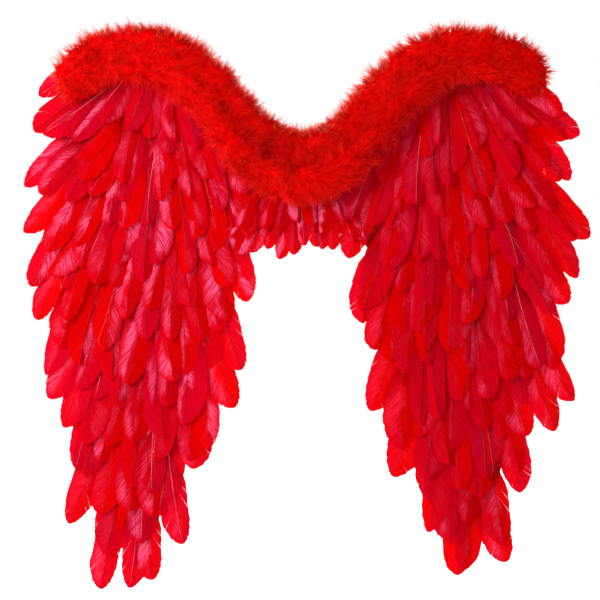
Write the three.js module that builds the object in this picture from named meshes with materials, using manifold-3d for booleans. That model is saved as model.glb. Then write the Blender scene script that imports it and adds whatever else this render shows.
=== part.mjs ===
// Pair of feather costume wings, worn on the back.
// Millimetres, +Z up. The feathered side faces -Y and the wearer stands on the +Y side.
// The origin is the centre of the back pad's rear face, between the wearer's shoulder blades.
// Each wing is a stiff board that carries rows of sewn feather fringe, lapped like shingles, each row
// lying over the roots of the row below it. A fluffy trim covers the tops of the boards and the bridge
// between them, and two elastic straps behind the boards go round the shoulders.
import * as THREE from 'three';
import { mergeVertices } from 'three/addons/utils/BufferGeometryUtils.js';
import Module from 'manifold-3d';

// Driving dimensions
const halfSpan = 326; // from the middle to the outermost feather tips
const topAbovePad = 186; // from the origin up to the highest fluff
const wingDrop = 475; // from the origin down to the lowest feather tip
const gap = 0.3; // between pieces that are glued or sewn to each other

const padWidth = 150;
const padHeight = 60;
const padThickness = 3;
const padCorner = 14;

const boardThickness = 2.5;
const boardSeam = 1; // between the two boards at the middle

const rowCount = 13;
const tapeWidth = 8; // sewn edge of a row of fringe
const layerRise = 3.3; // how far each row lies in front of the row below it
const tipPitch = 27; // between neighbouring feathers at their tips
const fanAcross = 161; // the rows curve round a point above each wing, this far from the middle
const fanAbove = 228; // and this far above the origin
const firstRootRadius = 98; // from that point to the sewn edge of the top row
const lastRootRadius = 567;
const rowReach = 105; // past this a row's tips end and the next row's feathers show
const leanGain = 1.23; // a feather's lean over the angle of its root

const vaneThickness = 1.1; // at the shaft
const vaneStep = 1.6; // every other feather lies this much further forward
const tipCurl = 2.2; // how far a feather's tip lifts off

const fringeTop = -3; // the back one of the two rows that hang below the bridge
const fringeSpacing = 20; // from it up to the front one
const fringeHalfWidth = 31;
const fringeLength = 76;
const fringeFeatherWidth = 25;

const trimDepth = 30; // fluff in front of what it covers
const trimWrap = 7; // fluff behind the board's edge
const trimInset = 7; // the trim's core lies this far inside the board's edge
const trimSeat = 6; // half width of the strip by which the core is glued on
const centreTrimHalf = 48;
const trimRings = 14;
const lockRadius = 7;
const lockRise = 2; // locks stand this much clear of the feathers
const seatEnd = 0.75; // beyond this share of its length the trim lies over the top row's feathers

const strapWidth = 20;
const strapThickness = 1.5;
const strapSpacing = 200; // between the middles of the two straps
const strapReach = 140; // how far a strap stands behind the board
const strapTop = 105;
const strapBottom = -150;
const strapTab = 25; // length that is sewn flat on the board

// Outline of one board from the neck round the outside to the bridge. Both columns are shares:
// across of halfSpan from the middle, down of the wing's height from its top.
const boardOutline = [
  { across: 0.0, down: 0.226 },
  { across: 0.096, down: 0.208 },
  { across: 0.186, down: 0.161 },
  { across: 0.277, down: 0.104 },
  { across: 0.403, down: 0.05 },
  { across: 0.548, down: 0.025 },
  { across: 0.72, down: 0.036 },
  { across: 0.82, down: 0.075 },
  { across: 0.862, down: 0.135 },
  { across: 0.868, down: 0.245 },
  { across: 0.85, down: 0.39 },
  { across: 0.82, down: 0.534 },
  { across: 0.764, down: 0.677 },
  { across: 0.705, down: 0.803 },
  { across: 0.627, down: 0.867 },
  { across: 0.548, down: 0.85 },
  { across: 0.47, down: 0.767 },
  { across: 0.384, down: 0.66 },
  { across: 0.32, down: 0.534 },
  { across: 0.28, down: 0.427 },
  { across: 0.222, down: 0.366 },
  { across: 0.114, down: 0.341 },
  { across: 0.0, down: 0.337 },
];
const trimmedPoints = 8; // the first points of the outline run along the trimmed edge

// Rows of feathers, from the top row at 0 to the lowest at 1. outer and inner are the angles at which
// the row's ends lie round the fan's centre, in degrees from straight down and outwards positive.
// length and width are the feathers' sizes in mm.
const rowStations = [
  { at: 0.0, outer: 44.0, inner: -12.0, length: 90, width: 29 },
  { at: 0.167, outer: 33.6, inner: -21.0, length: 97, width: 32 },
  { at: 0.333, outer: 24.6, inner: -14.0, length: 107, width: 34 },
  { at: 0.583, outer: 15.4, inner: -7.5, length: 112, width: 35 },
  { at: 0.833, outer: 8.2, inner: -2.2, length: 114, width: 34 },
  { at: 1.0, outer: 5.0, inner: 1.9, length: 116, width: 31 },
];

// Outline of one feather: shares of its length and of its half width.
const vaneStations = [
  { along: 0.0, half: 0.28 },
  { along: 0.56, half: 1.0 },
  { along: 0.88, half: 0.74 },
];

// Section of the trim: across is mm outwards from its core, front the share of trimDepth.
const trimSection = [
  { across: 27, front: 0.2 },
  { across: 16, front: 0.62 },
  { across: -4, front: 0.94 },
  { across: -24, front: 1.0 },
  { across: -46, front: 0.72 },
];

const wingHeight = topAbovePad + wingDrop;
const boardBack = -padThickness - gap;
const boardFront = boardBack - boardThickness;
const rootSpacing = (lastRootRadius - firstRootRadius) / (rowCount - 1);
const layerSlope = layerRise / rootSpacing;
const stackThickness = vaneStep + vaneThickness;

const wasm = await Module();
wasm.setup();

// Repeatable scatter between -1 and 1
function scatter(wing, row, index, kind) {
  const wave = Math.sin(wing * 53.7 + row * 127.1 + index * 311.7 + kind * 74.7) * 43758.5453;
  return 2 * (wave - Math.floor(wave)) - 1;
}

function toSolid(geometry) {
  const bare = geometry.index ? geometry.toNonIndexed() : geometry.clone();
  bare.deleteAttribute('normal');
  bare.deleteAttribute('uv');
  const merged = mergeVertices(bare, 1e-4);
  return new wasm.Manifold(
    new wasm.Mesh({
      numProp: 3,
      vertProperties: new Float32Array(merged.attributes.position.array),
      triVerts: new Uint32Array(merged.index.array),
    }),
  );
}

function toGeometry(solid) {
  const made = solid.getMesh();
  const geometry = new THREE.BufferGeometry();
  geometry.setAttribute('position', new THREE.BufferAttribute(made.vertProperties, 3));
  geometry.setIndex(new THREE.BufferAttribute(made.triVerts, 1));
  geometry.computeVertexNormals();
  return geometry;
}

function fromPoints(points, faces) {
  const geometry = new THREE.BufferGeometry();
  geometry.setAttribute('position', new THREE.Float32BufferAttribute(points.flat(), 3));
  geometry.setIndex(faces.flat());
  return geometry;
}

// Closed tube through rings of the same number of points, with flat ends
function loft(rings) {
  const size = rings[0].length;
  const faces = [];
  for (let ring = 0; ring + 1 < rings.length; ring += 1) {
    for (let i = 0; i < size; i += 1) {
      const a = ring * size + i;
      const b = ring * size + ((i + 1) % size);
      faces.push([a, b, b + size], [a, b + size, a + size]);
    }
  }
  const last = (rings.length - 1) * size;
  for (let i = 1; i + 1 < size; i += 1) {
    faces.push([0, i + 1, i], [last, last + i, last + i + 1]);
  }
  return faceOutwards(rings.flat(), faces);
}

function faceOutwards(points, faces) {
  const volume = faces.reduce((sum, [a, b, c]) => {
    const corner = new THREE.Vector3(...points[a]);
    const side = new THREE.Vector3(...points[b]).cross(new THREE.Vector3(...points[c]));
    return sum + corner.dot(side);
  }, 0);
  return fromPoints(points, volume < 0 ? faces.map(([a, b, c]) => [a, c, b]) : faces);
}

// A station table read at a share between its first and last row
function readStations(table, share) {
  const next = Math.max(1, table.findIndex((row) => row.at >= share));
  const low = table[next - 1];
  const high = table[next];
  const t = (share - low.at) / (high.at - low.at);
  return Object.fromEntries(
    Object.keys(low).map((key) => [key, low[key] + (high[key] - low[key]) * t]),
  );
}

// Point of a wing, given by its distance and angle from the centre of the fan
function fanPoint(side, radius, degrees) {
  const angle = THREE.MathUtils.degToRad(degrees);
  return [side * (fanAcross + radius * Math.sin(angle)), fanAbove - radius * Math.cos(angle)];
}

function fanRadius(x, z) {
  return Math.hypot(Math.abs(x) - fanAcross, z - fanAbove);
}

// Back of a row, further forward the further it hangs below its sewn edge
function rowDepth(rootRadius, x, z) {
  const below = fanRadius(x, z) - (rootRadius - tapeWidth / 2);
  return boardFront - gap - layerSlope * Math.max(0, below);
}

function fringeDepth(level, z) {
  const below = level + tapeWidth / 2 - z;
  return boardFront - gap - (layerRise / fringeSpacing) * Math.max(0, below);
}

// One feather as a blade with a raised shaft and a flat underside
function featherBlade({ x, z, lean, length, width, bend, forward, depthAt }) {
  const place = (along, aside) => {
    const sideways = aside + bend * along * along;
    const reach = along * length;
    const px = x + reach * Math.sin(lean) + sideways * Math.cos(lean);
    const pz = z - reach * Math.cos(lean) + sideways * Math.sin(lean);
    const curl = tipCurl * Math.max(0, (along - 0.8) / 0.2) ** 2;
    return [px, depthAt(px, pz) - forward - curl, pz];
  };
  const points = [];
  vaneStations.forEach(({ along, half }) => {
    const shaft = place(along, 0);
    shaft[1] -= vaneThickness;
    points.push(place(along, (-half * width) / 2), shaft, place(along, (half * width) / 2));
  });
  const tip = points.length;
  points.push(place(1, 0));
  const faces = [[0, 2, 1]];
  for (let left = 0; left + 3 < tip; left += 3) {
    const [shaft, right] = [left + 1, left + 2];
    faces.push([left, shaft, shaft + 3], [left, shaft + 3, left + 3]);
    faces.push([shaft, right, right + 3], [shaft, right + 3, shaft + 3]);
    faces.push([right, left, left + 3], [right, left + 3, right + 3]);
  }
  faces.push([tip - 3, tip - 2, tip], [tip - 2, tip - 1, tip], [tip - 1, tip - 3, tip]);
  return toSolid(faceOutwards(points, faces));
}

// The sewn edge of a row: a strip through pairs of points at its upper and lower edge
function sewnTape(pairs, depthAt) {
  const rings = pairs.map(([[lowX, lowZ], [highX, highZ]]) => {
    const [low, high] = [depthAt(lowX, lowZ), depthAt(highX, highZ)];
    return [
      [lowX, low, lowZ],
      [lowX, low - stackThickness, lowZ],
      [highX, high - stackThickness, highZ],
      [highX, high, highZ],
    ];
  });
  return toSolid(loft(rings));
}

// A row of one wing. side is -1 for the left wing and 1 for the right.
function featherRow(side, row) {
  const share = row / (rowCount - 1);
  const { outer, inner, length, width } = readStations(rowStations, share);
  const rootRadius = firstRootRadius + share * (lastRootRadius - firstRootRadius);
  const tipArc = THREE.MathUtils.degToRad(outer - inner) * (rootRadius + length);
  const count = Math.max(3, Math.round(tipArc / tipPitch) + 1);
  const depthAt = (x, z) => rowDepth(rootRadius, x, z);
  const pieces = [];
  for (let i = 0; i < count; i += 1) {
    const step = (outer - inner) / (count - 1);
    const angle = outer - step * (i + 0.18 * scatter(side, row, i, 1));
    const [x, z] = fanPoint(side, rootRadius, angle);
    pieces.push(
      featherBlade({
        x,
        z,
        lean: side * THREE.MathUtils.degToRad(angle * leanGain + 3 * scatter(side, row, i, 2)),
        length: length * (1 + 0.06 * scatter(side, row, i, 3)),
        width: width * (1 + 0.08 * scatter(side, row, i, 4)),
        bend: 4 * scatter(side, row, i, 5),
        forward: vaneStep * (i % 2),
        depthAt,
      }),
    );
  }
  const endMargin = THREE.MathUtils.radToDeg(4 / rootRadius);
  const segments = Math.max(1, Math.round(((outer - inner) * rootRadius) / 2400));
  const pairs = [];
  for (let i = 0; i <= segments; i += 1) {
    const t = i / segments;
    const angle = outer + endMargin - (outer - inner + 2 * endMargin) * t;
    pairs.push([
      fanPoint(side, rootRadius + tapeWidth / 2, angle),
      fanPoint(side, rootRadius - tapeWidth / 2, angle),
    ]);
  }
  return wasm.Manifold.union([sewnTape(pairs, depthAt), ...pieces]);
}

// A short row below the bridge. order 0 is the back one.
function bridgeFringe(order) {
  const half = fringeHalfWidth - 8 * order;
  const level = fringeTop + fringeSpacing * order;
  const count = 6 - order;
  const depthAt = (x, z) => fringeDepth(level, z);
  const pieces = [];
  for (let i = 0; i < count; i += 1) {
    const share = (2 * i) / (count - 1) - 1;
    pieces.push(
      featherBlade({
        x: share * half,
        z: level,
        lean: THREE.MathUtils.degToRad(11 * share + 4 * scatter(3, order, i, 2)),
        length: fringeLength * (0.76 + 0.22 * share * share + 0.05 * scatter(3, order, i, 3)),
        width: fringeFeatherWidth * (1 + 0.1 * scatter(3, order, i, 4)),
        bend: 3 * scatter(3, order, i, 5),
        forward: vaneStep * (i % 2),
        depthAt,
      }),
    );
  }
  const tape = sewnTape(
    [-half - 4, half + 4].map((x) => [
      [x, level - tapeWidth / 2],
      [x, level + tapeWidth / 2],
    ]),
    depthAt,
  );
  return wasm.Manifold.union([tape, ...pieces]);
}

// Points of the plane of the wings, from a share table
function planPoint(side, { across, down }) {
  return new THREE.Vector2(side * across * halfSpan, topAbovePad - down * wingHeight);
}

function boardPlan(side) {
  const points = boardOutline.map((row) => planPoint(side, row));
  points[0].x = (side * boardSeam) / 2;
  points[points.length - 1].x = (side * boardSeam) / 2;
  return new THREE.SplineCurve(points).getPoints(2 * (points.length - 1));
}

function slab(outline, front, back) {
  const depth = back - front;
  const geometry = new THREE.ExtrudeGeometry(new THREE.Shape(outline), { depth, bevelEnabled: false });
  geometry.rotateX(Math.PI / 2);
  geometry.translate(0, back, 0);
  return geometry;
}

function wingBoard(side) {
  return toSolid(slab(boardPlan(side), boardFront, boardBack));
}

function backPad() {
  const [w, h, r] = [padWidth / 2, padHeight / 2, padCorner];
  const shape = new THREE.Shape();
  shape.moveTo(-w + r, -h);
  shape.lineTo(w - r, -h);
  shape.absarc(w - r, -h + r, r, -Math.PI / 2, 0);
  shape.absarc(w - r, h - r, r, 0, Math.PI / 2);
  shape.absarc(-w + r, h - r, r, Math.PI / 2, Math.PI);
  shape.absarc(-w + r, -h + r, r, Math.PI, 1.5 * Math.PI);
  return toSolid(slab(shape.getPoints(4), -padThickness, 0));
}

// The fluffy trim's core line, inside the top edge of the board, with its outward direction
function trimCore(side, samples) {
  const edge = new THREE.SplineCurve(
    boardOutline.slice(0, trimmedPoints).map((row) => planPoint(side, row)),
  );
  const stations = [];
  for (let i = 0; i <= samples; i += 1) {
    const t = i / samples;
    const point = edge.getPoint(t);
    const along = edge.getTangent(t);
    const outward = new THREE.Vector2(-side * along.y, side * along.x);
    if (i === 0) outward.set(0, 1);
    stations.push({ t, core: point.addScaledVector(outward, -trimInset), outward });
  }
  return stations;
}

// How far forward of the board the feathers under a point of the trim reach
function coverAt(x, z) {
  const radius = fanRadius(x, z);
  const tips = tipCurl * THREE.MathUtils.clamp((radius - 140) / 30, 0, 1);
  const below = THREE.MathUtils.clamp(radius - firstRootRadius + tapeWidth / 2, 0, rowReach);
  const topRow = gap + layerSlope * below + stackThickness + tips + gap;
  const fringe = boardFront - fringeDepth(fringeTop + fringeSpacing, z) + stackThickness + 2 * gap;
  return Math.abs(x) < 60 ? Math.max(topRow, fringe) : topRow;
}

// The trim is fullest at the neck and dies away at its outer end.
function trimSwell(t) {
  return (0.6 + 0.4 * Math.sin(Math.PI * (0.42 + 0.58 * t))) * Math.min(1, 4 * (1.13 - t));
}

// Body of the trim on one side, from the middle out to the wing's shoulder
function trimBody(side) {
  const rings = trimCore(side, trimRings).map(({ t, core, outward }) => {
    const at = (across, y) => [core.x + outward.x * across, y, core.y + outward.y * across];
    const swell = trimSwell(t);
    const covered = (across, share) => {
      const [x, , z] = at(across, 0);
      return at(across, boardFront - coverAt(x, z) - trimDepth * share * swell);
    };
    const inward = swell + 0.25;
    const front = trimSection.map(({ across, front: share }) =>
      across < -trimSeat || t > seatEnd
        ? covered(across * (across < 0 ? inward : 1), share)
        : at(across, boardFront - trimDepth * share * swell),
    );
    const innermost = trimSection[trimSection.length - 1].across * inward;
    const edge = trimInset + 1.2;
    const outermost = trimSection[0].across;
    const rest = t > seatEnd
      ? [covered(-trimSeat, 0), covered(edge, 0), covered(edge + 4, 0), covered(outermost, 0)]
      : [
        at(-trimSeat, boardFront - gap),
        at(edge, boardFront - gap),
        at(edge, boardBack + trimWrap * 0.8),
        at(outermost, boardBack + trimWrap * 0.5),
      ];
    return [...front, covered(innermost, 0), covered(-trimSeat - 1.5, 0), ...rest];
  });
  return toSolid(loft(rings));
}

// One lock of fluff: a slender pyramid from a root towards a tip
function fluffLock(root, tip, radius) {
  const geometry = new THREE.ConeGeometry(radius, root.distanceTo(tip), 4, 1);
  geometry.translate(0, root.distanceTo(tip) / 2, 0);
  const turn = new THREE.Quaternion().setFromUnitVectors(
    new THREE.Vector3(0, 1, 0),
    tip.clone().sub(root).normalize(),
  );
  geometry.applyQuaternion(turn);
  geometry.translate(root.x, root.y, root.z);
  return toSolid(geometry);
}

// Locks in rings along the trim. across and front say where a lock stands, lift how it points forward.
const lockRings = [
  { count: 18, across: 22, front: 0.32, reach: 23, outwards: 1, lift: 0.15 },
  { count: 9, across: 2, front: 0.8, reach: 16, outwards: 0.7, lift: 0.7 },
  { count: 9, across: -24, front: 0.95, reach: 18, outwards: -0.7, lift: 0.6 },
  { count: 13, across: -42, front: 0.62, reach: 20, outwards: -1, lift: 0.16 },
];

function trimLocks(side) {
  const locks = [];
  lockRings.forEach(({ count, across, front, reach, outwards, lift }, ring) => {
    const stations = trimCore(side, 2 * count);
    for (let i = 0; i < count; i += 1) {
      const { t, core, outward } = stations[2 * i + 1];
      const swell = trimSwell(t);
      const inward = across < 0 ? swell + 0.25 : 1;
      const spot = core.clone().addScaledVector(outward, across * inward);
      const cover = across < 0 || t > seatEnd ? coverAt(spot.x, spot.y) + lockRise : 0;
      const depth = boardFront - cover - trimDepth * front * swell * 0.9;
      const root = new THREE.Vector3(spot.x, depth, spot.y);
      const aside = 0.5 * scatter(side, ring, i, 6) - side * Math.max(0, 6 * (t - 0.84));
      const way = new THREE.Vector3(
        outward.x * outwards - outward.y * aside,
        -lift,
        outward.y * outwards + outward.x * aside,
      ).normalize();
      const tip = root.clone().addScaledVector(way, reach * (1 + 0.25 * scatter(side, ring, i, 7)));
      locks.push(fluffLock(root.addScaledVector(way, -3), tip, lockRadius));
    }
  });
  return locks;
}

function box(width, depth, height, x) {
  const geometry = new THREE.BoxGeometry(width, depth, height);
  geometry.translate(x, 0, 0);
  return toSolid(geometry);
}

// Without the scraps of locks that a cut leaves behind
function largestBody(solid) {
  return solid.decompose().reduce((a, b) => (b.volume() > a.volume() ? b : a));
}

// The whole trim, parted into the two wings' lengths and the one over the bridge
function trimLengths() {
  const whole = wasm.Manifold.union([
    ...[-1, 1].flatMap((side) => [trimBody(side), ...trimLocks(side)]),
  ]);
  const far = 4 * halfSpan;
  const wingCut = (side) => box(far, far, far, side * (centreTrimHalf + gap + far / 2));
  return {
    left: largestBody(whole.intersect(wingCut(-1))),
    centre: largestBody(whole.intersect(box(2 * centreTrimHalf, far, far, 0))),
    right: largestBody(whole.intersect(wingCut(1))),
  };
}

// Elastic strap: its side view is a band that leaves the board, goes round the shoulder and returns
function shoulderStrap(side) {
  const sewn = strapThickness / 2 + gap;
  const middle = (strapTop + strapBottom) / 2;
  const [topTab, lowTab] = [strapTop - 35, strapBottom + 62];
  const line = new THREE.Path();
  line.moveTo(sewn, topTab - strapTab);
  line.lineTo(sewn, topTab);
  line.bezierCurveTo(sewn, topTab + 24, strapReach * 0.2, strapTop, strapReach * 0.48, strapTop);
  line.bezierCurveTo(strapReach * 0.8, strapTop, strapReach, strapTop - 35, strapReach, middle + 22);
  line.bezierCurveTo(
    strapReach, middle - 50, strapReach * 0.82, strapBottom, strapReach * 0.48, strapBottom,
  );
  line.bezierCurveTo(strapReach * 0.2, strapBottom, sewn, lowTab - 20, sewn, lowTab);
  line.lineTo(sewn, lowTab + strapTab);
  const centre = line.getPoints(5);
  const offset = (amount) =>
    centre.map((point, i) => {
      const before = centre[Math.max(0, i - 1)];
      const after = centre[Math.min(centre.length - 1, i + 1)];
      const along = after.clone().sub(before).normalize();
      return new THREE.Vector2(point.x - along.y * amount, point.y + along.x * amount);
    });
  const outline = [...offset(strapThickness / 2), ...offset(-strapThickness / 2).reverse()];
  const geometry = new THREE.ExtrudeGeometry(new THREE.Shape(outline), {
    depth: strapWidth,
    bevelEnabled: false,
  });
  // The shape's first axis becomes +Y, its second +Z, and the extrusion runs along X.
  geometry.applyMatrix4(new THREE.Matrix4().set(0, 0, 1, 0, 1, 0, 0, 0, 0, 1, 0, 0, 0, 0, 0, 1));
  geometry.translate((side * strapSpacing) / 2 - strapWidth / 2, boardBack, 0);
  return toSolid(geometry);
}

const featherRed = new THREE.MeshStandardMaterial({ color: 0xd6030f, roughness: 0.45, metalness: 0 });
const fluffRed = new THREE.MeshStandardMaterial({ color: 0xdd0406, roughness: 0.95, metalness: 0 });
const feltRed = new THREE.MeshStandardMaterial({ color: 0xb0060c, roughness: 0.95, metalness: 0 });
const elasticRed = new THREE.MeshStandardMaterial({ color: 0xa8080e, roughness: 0.8, metalness: 0 });

const wings = new THREE.Group();

function addPiece(name, solid, material) {
  const mesh = new THREE.Mesh(toGeometry(solid), material);
  mesh.name = name;
  wings.add(mesh);
}

addPiece('back_pad', backPad(), feltRed);
[['left', -1], ['right', 1]].forEach(([name, side]) => {
  addPiece(`${name}_wing_board`, wingBoard(side), feltRed);
  addPiece(`${name}_shoulder_strap`, shoulderStrap(side), elasticRed);
  for (let row = 0; row < rowCount; row += 1) {
    const number = String(row + 1).padStart(2, '0');
    addPiece(`${name}_feather_row_${number}`, featherRow(side, row), featherRed);
  }
});
[0, 1].forEach((order) => {
  addPiece(order ? 'bridge_fringe_front' : 'bridge_fringe_back', bridgeFringe(order), featherRed);
});
Object.entries(trimLengths()).forEach(([name, solid]) => {
  addPiece(`${name}_fluff_trim`, solid, fluffRed);
});

export default wings;
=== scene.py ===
import math

import bmesh
import bpy
import numpy as np
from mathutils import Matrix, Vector


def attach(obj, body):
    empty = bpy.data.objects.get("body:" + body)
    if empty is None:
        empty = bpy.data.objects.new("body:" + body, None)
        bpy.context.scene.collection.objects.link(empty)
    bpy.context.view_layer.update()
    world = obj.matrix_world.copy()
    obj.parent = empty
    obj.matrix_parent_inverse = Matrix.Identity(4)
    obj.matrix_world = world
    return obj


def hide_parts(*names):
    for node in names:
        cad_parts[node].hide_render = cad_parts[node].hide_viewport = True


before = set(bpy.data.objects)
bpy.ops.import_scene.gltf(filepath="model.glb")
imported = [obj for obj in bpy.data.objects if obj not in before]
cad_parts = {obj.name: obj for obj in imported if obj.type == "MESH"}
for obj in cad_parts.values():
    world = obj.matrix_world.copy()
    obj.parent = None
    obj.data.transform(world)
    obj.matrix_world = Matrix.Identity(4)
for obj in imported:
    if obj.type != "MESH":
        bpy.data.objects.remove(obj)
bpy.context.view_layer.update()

MM = 0.001

# Sizes shared with the solids
HALF_SPAN = 326
TOP_ABOVE_PAD = 186
WING_HEIGHT = 661
BOARD_BACK = -3.3
BOARD_FRONT = -5.8
BOARD_SEAM = 1.0
BOARD_ROUNDING = 0.8
GAP = 0.3  # between pieces that are sewn to each other

FAN_ACROSS = 161  # the rows curve round a point above each wing, this far from the middle
FAN_ABOVE = 228  # and this far above the origin
LAST_ROOT_RADIUS = 567
ROW_COUNT = 13
ROW_SPACING = 39.1
ROW_REACH = 105  # past this a row's tips end and the next row's feathers show
LAYER_RISE = 3.3  # how far each row lies in front of the row below it
LEAN_GAIN = 1.23  # a feather's lean over the angle of its root
TAPE_WIDTH = 8
FRINGE_SPACING = 20

# Outline of one board from the neck round the outside to the bridge, as shares of the half span
# across and of the wing's height down.
BOARD_OUTLINE = [
    {"across": 0.0, "down": 0.226},
    {"across": 0.096, "down": 0.208},
    {"across": 0.186, "down": 0.161},
    {"across": 0.277, "down": 0.104},
    {"across": 0.403, "down": 0.05},
    {"across": 0.548, "down": 0.025},
    {"across": 0.72, "down": 0.036},
    {"across": 0.82, "down": 0.075},
    {"across": 0.862, "down": 0.135},
    {"across": 0.868, "down": 0.245},
    {"across": 0.85, "down": 0.39},
    {"across": 0.82, "down": 0.534},
    {"across": 0.764, "down": 0.677},
    {"across": 0.705, "down": 0.803},
    {"across": 0.627, "down": 0.867},
    {"across": 0.548, "down": 0.85},
    {"across": 0.47, "down": 0.767},
    {"across": 0.384, "down": 0.66},
    {"across": 0.32, "down": 0.534},
    {"across": 0.28, "down": 0.427},
    {"across": 0.222, "down": 0.366},
    {"across": 0.114, "down": 0.341},
    {"across": 0.0, "down": 0.337},
]
TRIMMED_POINTS = 8  # the first points of the outline run along the trimmed edge

# Rows of feathers from the top one at 0 to the lowest at 1: the angles of the row's ends round the
# fan's centre, in degrees from straight down and outwards positive, and the feathers' sizes.
ROW_STATIONS = [
    {"at": 0.0, "outer": 46.5, "inner": -12.0, "length": 90, "width": 30},
    {"at": 0.167, "outer": 32.8, "inner": -21.4, "length": 97, "width": 32},
    {"at": 0.333, "outer": 23.8, "inner": -14.2, "length": 107, "width": 35},
    {"at": 0.583, "outer": 15.4, "inner": -6.7, "length": 112, "width": 37},
    {"at": 0.833, "outer": 8.2, "inner": -1.5, "length": 111, "width": 39},
    {"at": 1.0, "outer": 5.0, "inner": 2.3, "length": 109, "width": 37},
]
FIRST_ROOT_RADIUS = 86  # the top row starts higher than its solid, under the trim
TIP_PITCH = 24  # between neighbouring feathers at their tips
TOP_PITCH = 0.82 * TIP_PITCH
TOP_ROWS = 4  # these have the closer pitch, and feathers with vanes down to the root
STRAY_ROWS = 6  # rows with several loose quills
WIDTH_GAIN = 1.18  # the vanes' ragged edges take up this much of their width
ROOT_DEPTH = 1.6  # from the board's front to the middle of the feathers' roots
PRESS_GAP = 0.9  # what comes nearer to the board than this is pressed flat
PRESS_SHARE = 0.15
LEFT_PAINTED_SHEEN = 0.95  # painted sheen share of the wing that is nearer to the key light; the other wing gets less
RIGHT_PAINTED_SHEEN = 0.4

VANE_LENGTH = 100  # of a feather as it is modelled, before a row scales it
VANE_WIDTH = 30
BARBS = 26  # along one side of a feather
BARB_STEPS = 3
FEATHER_KINDS = 10
STRAY_KINDS = 4
FEATHER_SEED = 400
QUILL_SEED = 60
WISP_SEED = 700

FRINGE_FAN_ABOVE = 197
FRINGE_FAN_RADIUS = 200
FRINGE_HALF_ANGLE = 16  # degrees, and less on the front row
FRINGE_FEATHERS = 13  # on the back row
# Painted sheen share of the fringe's feathers
FRINGE_PAINTED_SHEEN = 2.6

# What the trim lies on
ROWS_BEGIN = 94  # radius of the top row's upper edge
ROWS_THICKNESS = 5.5
FRINGE_BEGIN = 21  # height of the front fringe's upper edge
BRIDGE_HALF = 60
OVERLAP_BEGIN = 225  # from here outwards the trim's outer side lies on feathers too
OVERLAP_SPAN = 30

# The trim's dense middle from the neck at 0 to its outer end at 1: how far it reaches to each side
# of its core line and forwards.
TRIM_STATIONS = [
    {"at": 0.0, "outwards": 39, "inwards": 38, "depth": 26},
    {"at": 0.12, "outwards": 35, "inwards": 37, "depth": 26},
    {"at": 0.35, "outwards": 25, "inwards": 34, "depth": 26},
    {"at": 0.5, "outwards": 31, "inwards": 30, "depth": 24},
    {"at": 0.65, "outwards": 34, "inwards": 24, "depth": 22},
    {"at": 0.85, "outwards": 37, "inwards": 16, "depth": 17},
    {"at": 0.95, "outwards": 33, "inwards": 10, "depth": 13},
    {"at": 1.0, "outwards": 14, "inwards": 3, "depth": 8},
]
TRIM_INSET = 7
CENTRE_TRIM_HALF = 48
PAST_TRIM = 400  # further out than the trim's ends
TRIM_OVERRUN = 0.4  # how far the trim runs past its last outline point, in outline spans
TRIM_SAMPLES = 60  # stations from the neck to one end
TRIM_AROUND = 24
NECK_ROUNDING = 30  # passes that round off the trim's core line at the neck
TUFTS_PER_SQUARE_METRE = 75000.0
TIPS_PER_SQUARE_METRE = 110000.0
TUFT_SIZE = 0.8
WISP_KINDS = 8
TIP_KINDS = 4

STRAP_WIDTH = 20
STRAP_THICKNESS = 1.5
STRAP_SPACING = 200
STRAP_REACH = 140
STRAP_TOP = 105
STRAP_BOTTOM = -150
STRAP_TAB = 25
TOP_TAB = STRAP_TOP - 35  # where the strap leaves the board
LOW_TAB = STRAP_BOTTOM + 62
TAB_MARGIN = 3  # from a tab's edge to its box stitch

PAD_WIDTH = 150
PAD_HEIGHT = 60
PAD_THICKNESS = 3
PAD_CORNER = 14
PAD_ROUNDING = 1.0
SEAM_INSET = 5  # from an edge to the seam along it
PAD_SEAMS = (SEAM_INSET, 7.5)
THREAD_RADIUS = 0.3
THREAD_LIFT = 0.1

FLOOR_HEIGHT = -500
FLOOR_REACH = 12000
FLOOR_GLOW = 0.77
SKY_STRENGTH = 0.26
LIGHT_TARGET = (0.0, 0.0, -0.13)
LENS = 85
SENSOR_WIDTH = 36
FRAME_WIDTH = 0.705  # what the photograph's frame takes in at the wings, in metres
FEATHERS_AHEAD = 0.02  # the feathers' fronts lie this far in front of the origin
CAMERA_ACROSS = -0.0024
CAMERA_HEIGHT = -0.1241

# Colours as linear light
SCARLET = (0.48, 0.0004, 0.0007)
CRIMSON = (0.39, 0.0006, 0.015)
# Painted shade of the vanes, towards their roots and between the barbs
VANE_PAINTED_SHADE = (0.14, 0.0003, 0.0008)
VANE_GLOW = (0.85, 0.004, 0.008)
# Painted sheen: a pink painted highlight
PAINTED_SHEEN_PINK = (0.74, 0.075, 0.19)
FLUFF_RED = (0.93, 0.001, 0.0014)
# Painted shade deep in the marabou
FLUFF_PAINTED_SHADE = (0.55, 0.0006, 0.0007)
# Painted glow at the ends of the down's barbs
FLUFF_PAINTED_TIP_GLOW = (1.0, 0.05, 0.03)
# Painted glow of the rim's tips, as if lit from behind
FLUFF_PAINTED_RIM_GLOW = (1.0, 0.23, 0.13)
QUILL_DARK = (0.07, 0.001, 0.002)
QUILL_DYED = (0.34, 0.001, 0.006)
# Painted glint of a few shafts
QUILL_PAINTED_GLINT = (0.62, 0.12, 0.13)
FELT_RED = (0.33, 0.004, 0.006)
# The fringe tape's felt, darkened to the feathers' shade: painted shade
TAPE_RED_PAINTED_SHADE = (0.24, 0.001, 0.004)
ELASTIC_RED = (0.27, 0.004, 0.006)
THREAD_RED = (0.42, 0.006, 0.008)
FLOOR_WHITE = (1.0, 1.0, 1.0)
FLOOR_SPECKLE = (0.97, 0.97, 0.97)


# Node trees


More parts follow.
